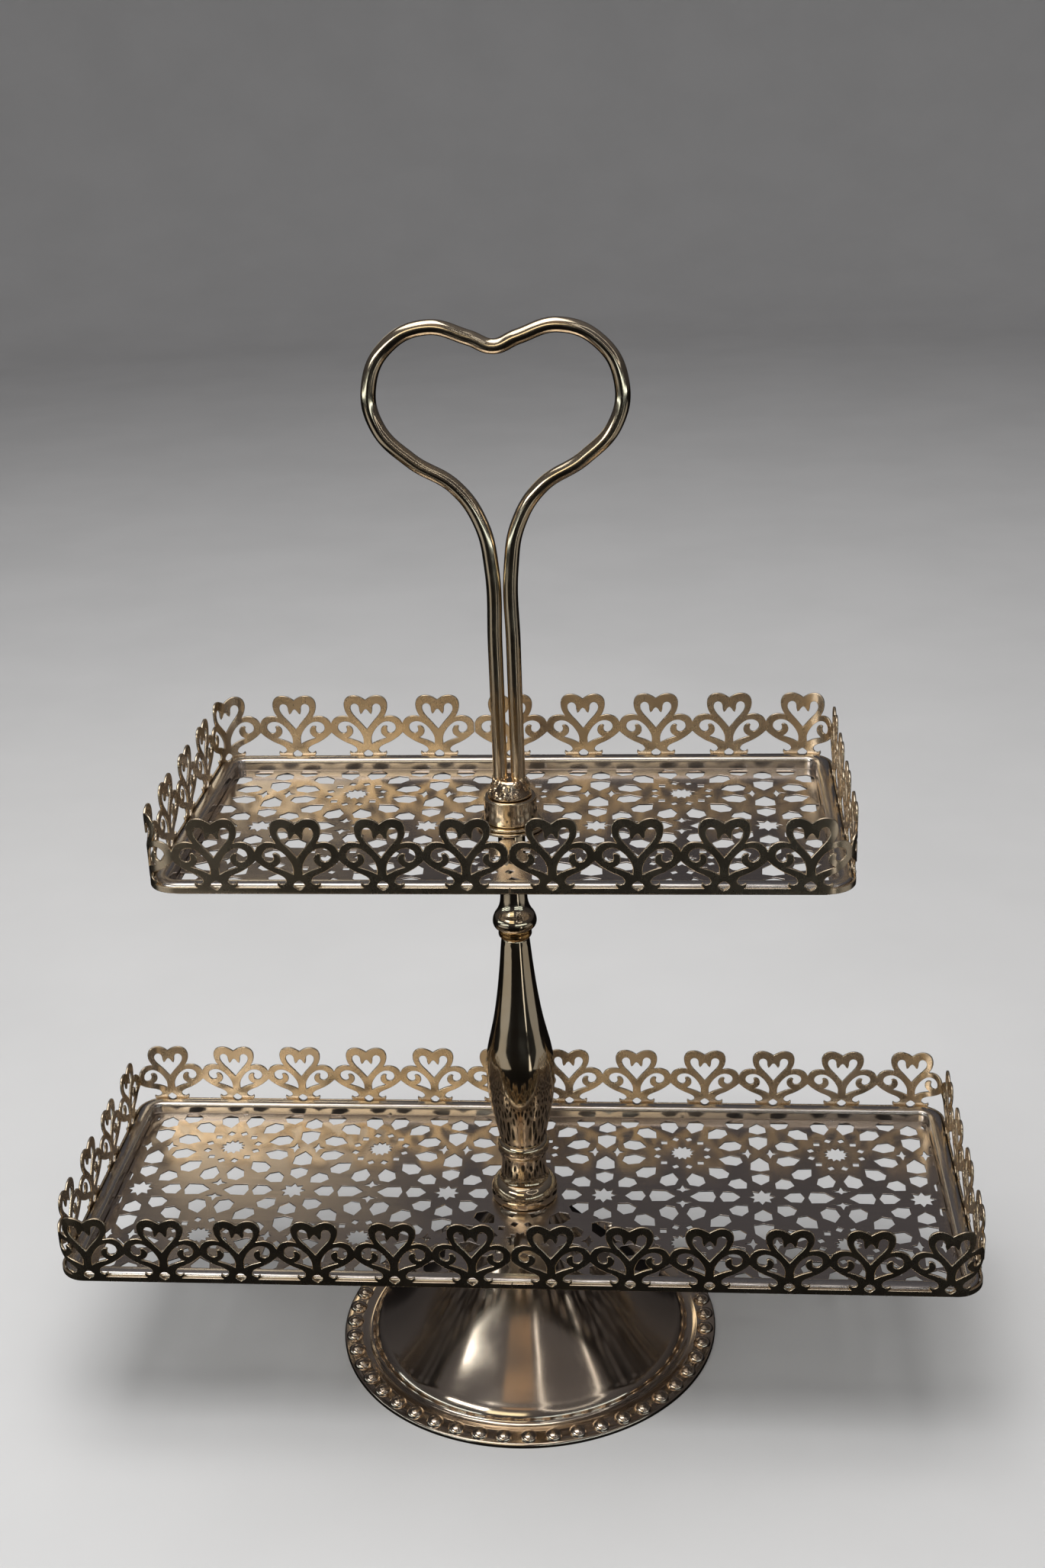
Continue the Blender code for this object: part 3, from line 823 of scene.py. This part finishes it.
def tray_path(length, depth, away):
    """The line that a strip follows round a tray, from the middle of its front.

    It gives a function from the distance along the line to a place and the outward normal there, the
    whole length, and the (start, length) of each bend.
    """
    half_x, half_y, radius = length / 2 - away, depth / 2 - away, TRAY_CORNER - away
    long_run, short_run, bend = half_x - radius, 2 * (half_y - radius), radius * TAU / 4
    stretches = (long_run, bend, short_run, bend, 2 * long_run, bend, short_run, bend, long_run)
    whole = sum(stretches)

    def place(distance):
        left = distance % whole
        x, y, heading = 0.0, -half_y, 0.0
        for number, stretch in enumerate(stretches):
            step = min(left, stretch)
            if number % 2 == 0:
                x += step * math.cos(heading)
                y += step * math.sin(heading)
            else:
                by = step / radius
                x += radius * (math.sin(heading + by) - math.sin(heading))
                y += radius * (math.cos(heading) - math.cos(heading + by))
                heading += by
            left -= step
            if left <= 0:
                break
        return (x, y), (math.sin(heading), -math.cos(heading))

    bends, start = [], 0.0
    for number, stretch in enumerate(stretches):
        if number % 2:
            bends.append((start, stretch))
        start += stretch
    return place, whole, bends


def gallery_mesh(name, path, whole, start, motifs, pitch, bottom, bends):
    """A flat pierced strip, cut across finely where it bends, then laid along its path."""
    outlines = strip_outlines(motifs, pitch, STRIP_HEIGHT / HEART_TOP)
    solid = plate(outlines, STRIP_THICKNESS, STRIP_ROUNDING)
    length = motifs * pitch
    for corner, stretch in bends:
        near = (corner - start) % whole
        if not 0 <= near <= length:
            continue
        for k in range(BEND_CUTS + 1):
            at = near + stretch * k / BEND_CUTS
            if not 0 < at < length:
                continue
            faces = [
                f
                for f in solid.faces
                if min(v.co.x for v in f.verts) < at * MM < max(v.co.x for v in f.verts)
            ]
            edges = {e for f in faces for e in f.edges}
            verts = {v for f in faces for v in f.verts}
            bmesh.ops.bisect_plane(
                solid,
                geom=list(verts) + list(edges) + faces,
                dist=WELD * MM,
                plane_co=(at * MM, 0, 0),
                plane_no=(1, 0, 0),
            )
    shrink = (length - GAP) / length
    for vert in solid.verts:
        along, up, out = (c / MM for c in vert.co)
        (x, y), (normal_x, normal_y) = path(start + GAP / 2 + along * shrink)
        vert.co = Vector((x + normal_x * out, y + normal_y * out, bottom + up)) * MM
    bmesh.ops.triangulate(solid, faces=[f for f in solid.faces if len(f.verts) > 4])
    return finished(name, solid, 30)


for tier, length, depth, floor, motifs, seam in TRAYS:
    body = f"{tier}_tray"
    name = f"{tier}_pierced_floor"
    show(name, floor_mesh(name, length, depth, floor), SATIN, body, SATIN_SLOT, f"{tier}_tray_floor")
    name = f"{tier}_rolled_frame"
    show(name, frame_mesh(name, length, depth, floor), ROLLED, body, GOLD_SLOT, f"{tier}_tray_frame")
    path, whole, bends = tray_path(length, depth, STRIP_THICKNESS / 2)
    pitch = whole / sum(motifs)
    start = seam
    for side, count in zip(("right", "left"), motifs):
        name = f"{tier}_hearts_{side}"
        mesh = gallery_mesh(name, path, whole, start, count, pitch, floor + FLOOR_BELOW_STRIP, bends)
        show(name, mesh, PRESSED, body, GOLD_SLOT, f"{tier}_gallery_{side}")
        start += count * pitch

washer("seat_plate", 14.3, 251.4, 1.2, POLISHED, "upper_tray", GOLD_SLOT, "seat_washer")
washer("top_plate", 13.0, 252.9, 1.1, POLISHED, "top_washer", GOLD_SLOT, "handle_washer")

# ---------------------------------------------------------------- the handle
LEG = 3.7  # from the axis to the middle of each leg
FERRULE_TOP, FERRULE_BOTTOM, FERRULE_RADIUS = 265.0, 254.3, 11.0
# The right half of the bent rod's middle line, from the ferrule to the dip of the heart.
HANDLE_ROUTE = (
    (LEG, 265.8), (LEG, 330), (3.9, 362), (7.6, 380.5), (17, 394.7), (34, 405.6), (46.4, 419), (48.6, 435),
    (41, 449.5), (25.5, 456.4), (9.3, 452.2), (0, 448.8),
)  # fmt: skip


def evaluated(piece):
    """The mesh that an object's curve or modifiers make. The object is removed."""
    bpy.context.scene.collection.objects.link(piece)
    bpy.context.view_layer.update()
    graph = bpy.context.evaluated_depsgraph_get()
    mesh = bpy.data.meshes.new_from_object(piece.evaluated_get(graph))
    bpy.data.objects.remove(piece, do_unlink=True)
    return mesh


def handle_mesh():
    """One bent rod: two legs side by side, opening into a heart."""
    curve = bpy.data.curves.new("handle_line", "CURVE")
    curve.dimensions = "3D"
    curve.bevel_depth = ROD * MM
    curve.bevel_resolution = 8
    curve.resolution_u = 14
    curve.use_fill_caps = True
    route = list(HANDLE_ROUTE) + flipped(HANDLE_ROUTE[:-1])[::-1]
    line = curve.splines.new("BEZIER")
    line.bezier_points.add(len(route) - 1)
    for point, (x, z) in zip(line.bezier_points, route):
        point.co = (x * MM, 0, z * MM)
        point.handle_left_type = "AUTO"
        point.handle_right_type = "AUTO"
    mesh = evaluated(bpy.data.objects.new("handle_line", curve))
    solid = bmesh.new()
    solid.from_mesh(mesh)
    bmesh.ops.remove_doubles(solid, verts=solid.verts, dist=WELD * MM)
    bmesh.ops.recalc_face_normals(solid, faces=solid.faces)
    return finished("heart_handle", solid, 40)


def drop(solid, centre, radius, stretch):
    size = Matrix.Diagonal((radius * MM, radius * MM, radius * stretch * MM, 1))
    place = Matrix.Translation(Vector(centre) * MM) @ size
    bmesh.ops.create_icosphere(solid, subdivisions=3, radius=1, matrix=place)


def braze_mesh():
    """Lumpy braze drawn up both legs, melted together from drops."""
    solid = bmesh.new()
    core = [
        (0.05, 272.6), (5.2, 272.6), (6.4, 271.6), (7.6, 268.8), (9.0, 266.4), (9.3, 265.4), (0.05, 265.4),
    ]  # fmt: skip
    turn_into(solid, core, 48)
    rows = ((11, 7.6, 266.7, 1.35), (9, 6.3, 268.8, 1.6), (8, 5.3, 270.9, 1.5))
    for ring, (count, reach, height, size) in enumerate(rows):
        for k in range(count):
            angle = TAU * (k + 0.37 * ring) / count
            wobble = noise.noise(Vector((ring * 3.1, k * 1.7, 0.4)))
            away = reach * (1 + 0.10 * wobble) * (1 + 0.16 * abs(math.cos(angle)) * ring / 2)
            centre = (away * math.cos(angle), away * math.sin(angle), height + 0.7 * wobble)
            drop(solid, centre, size * (1 + 0.35 * wobble), 1.25)
    for side in (-1, 1):
        for k in range(7):
            angle = TAU * k / 7
            wobble = noise.noise(Vector((side * 2.3, k * 2.1, 5.5)))
            centre = (side * LEG + 2.9 * math.cos(angle), 2.9 * math.sin(angle), 271.9 + 0.9 * wobble)
            drop(solid, centre, 0.95 + 0.25 * wobble, 1.3)
    mesh = bpy.data.meshes.new("braze_drops")
    solid.to_mesh(mesh)
    solid.free()
    drops = bpy.data.objects.new("braze_drops", mesh)
    remesh = drops.modifiers.new("melt", "REMESH")
    remesh.mode = "VOXEL"
    remesh.voxel_size = 0.28 * MM
    even = drops.modifiers.new("even", "SMOOTH")
    even.factor = 0.6
    even.iterations = 5
    melted = evaluated(drops)
    solid = bmesh.new()
    solid.from_mesh(melted)
    for vert in solid.verts:
        vert.co.z = max(vert.co.z, (FERRULE_TOP + GAP) * MM)
    return finished("braze_cone", solid, 180)


ferrule = filleted(
    [
        (0.2, FERRULE_TOP), (FERRULE_RADIUS, FERRULE_TOP, 0.8), (FERRULE_RADIUS, FERRULE_BOTTOM, 0.5),
        (BORE + 0.4, FERRULE_BOTTOM), (BORE, 254.9), (BORE, 262.3), (0.2, 262.3),
    ],
    6,
)  # fmt: skip
show("ferrule_cap", turned("ferrule_cap", ferrule, 112), POLISHED, "handle", GOLD_SLOT, "handle_ferrule")
show("braze_cone", braze_mesh(), BRAZE, "handle", GOLD_SLOT, "handle_braze")
show("heart_handle", handle_mesh(), POLISHED, "handle", GOLD_SLOT, "handle_loop")


# ---------------------------------------------------------------- floor, light and camera
def stage_piece(name, solid, material, unseen=()):
    mesh = finished(name, solid, 180)
    mesh.materials.append(material)
    made = bpy.data.objects.new(name, mesh)
    for ray in unseen:
        setattr(made, f"visible_{ray}", False)
    bpy.context.scene.collection.objects.link(made)


def stage_floor():
    """A pale floor that curves up far away on all sides, and the dark cloth that the metal mirrors."""
    reach, radius, wall, steps, sides = 3.0, 1.2, 4.5, 16, 128
    line = [(1.0, 0.0), (reach, 0.0)]
    for k in range(1, steps + 1):
        angle = TAU / 4 * k / steps
        line.append((reach + radius * math.sin(angle), radius * (1 - math.cos(angle))))
    line.append((reach + radius, wall))
    paper = Shader("pale_paper")
    paper.out.inputs["Metallic"].default_value = 0
    paper.out.inputs["Roughness"].default_value = 0.8
    cloudy = paper.spread(paper.noise(6, 3), 0.0, 1.0)
    paper.colour(paper.mix(cloudy, (0.70, 0.693, 0.685), (0.67, 0.664, 0.656)))
    bowl = bmesh.new()
    rings = [[bowl.verts.new((x, y, z)) for x, y in circle(r, sides)] for r, z in line]
    bowl.faces.new(rings[0])
    for ring, following in zip(rings, rings[1:]):
        for k in range(sides):
            j = (k + 1) % sides
            bowl.faces.new((ring[k], following[k], following[j], ring[j]))
    stage_piece("floor", bowl, paper.material, unseen=("glossy",))
    cloth = Shader("dark_cloth")
    cloth.out.inputs["Metallic"].default_value = 0
    cloth.out.inputs["Roughness"].default_value = 0.9
    cloth.colour(cloth.mix(cloth.noise(3, 2), (0.045, 0.043, 0.046), (0.032, 0.030, 0.033)))
    flat = bmesh.new()
    flat.faces.new([flat.verts.new((x, y, -0.001)) for x, y in ((-4, -4), (4, -4), (4, 4), (-4, 4))])
    stage_piece("cloth", flat, cloth.material, unseen=("camera", "diffuse", "shadow"))


stage_floor()


def softbox(name, place, target, size, power, colour=(1, 1, 1)):
    light = bpy.data.lights.new(name, "AREA")
    light.shape = "RECTANGLE"
    light.size, light.size_y = size
    light.energy = power
    light.color = colour
    lamp = bpy.data.objects.new(name, light)
    lamp.location = place
    lamp.rotation_mode = "QUATERNION"
    lamp.rotation_quaternion = (Vector(target) - Vector(place)).to_track_quat("-Z", "Y")
    lamp.visible_camera = False
    bpy.context.scene.collection.objects.link(lamp)
    return lamp


def placed(turn, rise, distance, height=0.1):
    """A place seen from the stand at this turn from the front (+ is right) and rise, in degrees."""
    turn, rise = math.radians(turn), math.radians(rise)
    across = distance * math.cos(rise)
    return (across * math.sin(turn), -across * math.cos(turn), height + distance * math.sin(rise))


def panel(name, turn, rise, distance, size, glow, colour=(1, 1, 1)):
    """A soft panel that faces the stand, as bright as this glow."""
    return softbox(
        name, placed(turn, rise, distance), (0, 0, 0.1), size, glow * math.pi * size[0] * size[1], colour
    )


def low_card(name, turn, near, far, width, glow):
    """A bright card that lies on the floor, this far from the stand, and shows only in the metal."""
    size = (width, far - near)
    lamp = panel(name, turn, 0, (near + far) / 2, size, glow)
    lamp.location.z = 0.002
    lamp.rotation_mode = "XYZ"
    lamp.rotation_euler = (math.pi, 0, math.radians(turn))
    lamp.visible_diffuse = False


for name, turn, rise, distance, size, glow, colour in (
    ("left_window", -42, 31.5, 1.1, (0.50, 0.15), 5.0, (0.94, 0.98, 1.0)),
    ("low_left", -60, 5.5, 1.6, (2.0, 0.10), 2.8, (0.78, 0.92, 1.0)),
    ("low_right", 37, 5.0, 1.6, (1.9, 0.10), 2.8, (0.78, 0.92, 1.0)),
    ("amber_wall", -7, 50, 1.9, (0.6, 0.26), 0.25, (1.0, 0.6, 0.25)),
    ("gold_wall", -13, 27, 1.9, (0.8, 0.4), 1.5, (1.0, 0.90, 0.66)),
    ("top", -70, 78, 1.7, (1.3, 1.1), 2.2, (0.97, 0.98, 1.0)),
    ("back_left", -158.5, 25.5, 0.95, (0.2, 0.08), 1.5, (1.0, 0.86, 0.62)),
):
    panel(name, turn, rise, distance, size, glow, colour)
low_card("floor_left", -57, 0.45, 1.65, 0.6, 0.30)
low_card("floor_right", 38, 0.45, 1.4, 0.07, 1.0)
low_card("floor_far_right", 78, 0.40, 1.4, 0.5, 0.22)
fill = softbox("floor_fill", (0, -0.1, 2.3), (0, 0, 0), (1.8, 1.8), 36.0)
fill.visible_glossy = False


def ring_light():
    """A round lamp at the front right, seen as a small ring in every convex piece."""
    distance, height, reach, thickness = 0.9, 0.15, 0.30, 0.008
    middle = Vector(placed(37, 41, distance, height))
    turn = (middle - Vector((0, 0, height))).to_track_quat("Z", "Y").to_matrix().to_4x4()
    tube = [(reach + x, z) for x, z in reversed(circle(thickness, 12))]
    solid = bmesh.new()
    turn_into(solid, [(r / MM, z / MM) for r, z in tube], 64, Matrix.Translation(middle) @ turn)
    glow = bpy.data.materials.new("lamp_glow")
    glow.use_nodes = True
    out = glow.node_tree.nodes["Principled BSDF"]
    out.inputs["Base Color"].default_value = (0, 0, 0, 1)
    out.inputs["Emission Color"].default_value = (1, 1, 1, 1)
    out.inputs["Emission Strength"].default_value = 3.0
    stage_piece("ring_lamp", solid, glow, unseen=("camera",))


ring_light()


def studio_world():
    """A dim room, lighter overhead."""
    world = bpy.data.worlds.new("studio")
    world.use_nodes = True
    tree = world.node_tree
    coordinates = tree.nodes.new("ShaderNodeTexCoord")
    split = tree.nodes.new("ShaderNodeSeparateXYZ")
    ramp = tree.nodes.new("ShaderNodeValToRGB")
    ramp.color_ramp.elements[0].position = 0.1
    ramp.color_ramp.elements[0].color = (0.035, 0.034, 0.038, 1)
    ramp.color_ramp.elements[1].position = 1.0
    ramp.color_ramp.elements[1].color = (0.11, 0.107, 0.117, 1)
    tree.links.new(coordinates.outputs["Generated"], split.inputs["Vector"])
    tree.links.new(split.outputs["Z"], ramp.inputs["Fac"])
    tree.links.new(ramp.outputs["Color"], tree.nodes["Background"].inputs["Color"])
    tree.nodes["Background"].inputs["Strength"].default_value = 1.0
    bpy.context.scene.world = world


studio_world()


def camera():
    place = Matrix.Translation((0.0699, -0.7338, 0.5616))
    yaw, pitch, roll = -0.0877, 0.3773, -0.0353
    ahead = Vector((math.sin(yaw) * math.cos(pitch), math.cos(yaw) * math.cos(pitch), -math.sin(pitch)))
    level = Vector((math.cos(yaw), -math.sin(yaw), 0))
    upright = level.cross(ahead)
    right = level * math.cos(roll) + upright * math.sin(roll)
    up = upright * math.cos(roll) - level * math.sin(roll)
    data = bpy.data.cameras.new("camera")
    data.sensor_width = 36
    data.lens = 43.9
    data.clip_start, data.clip_end = 0.01, 60
    made = bpy.data.objects.new("camera", data)
    made.matrix_world = place @ Matrix((right, up, -ahead)).transposed().to_4x4()
    bpy.context.scene.collection.objects.link(made)
    bpy.context.scene.camera = made


camera()
bpy.context.scene.view_settings.view_transform = "Standard"
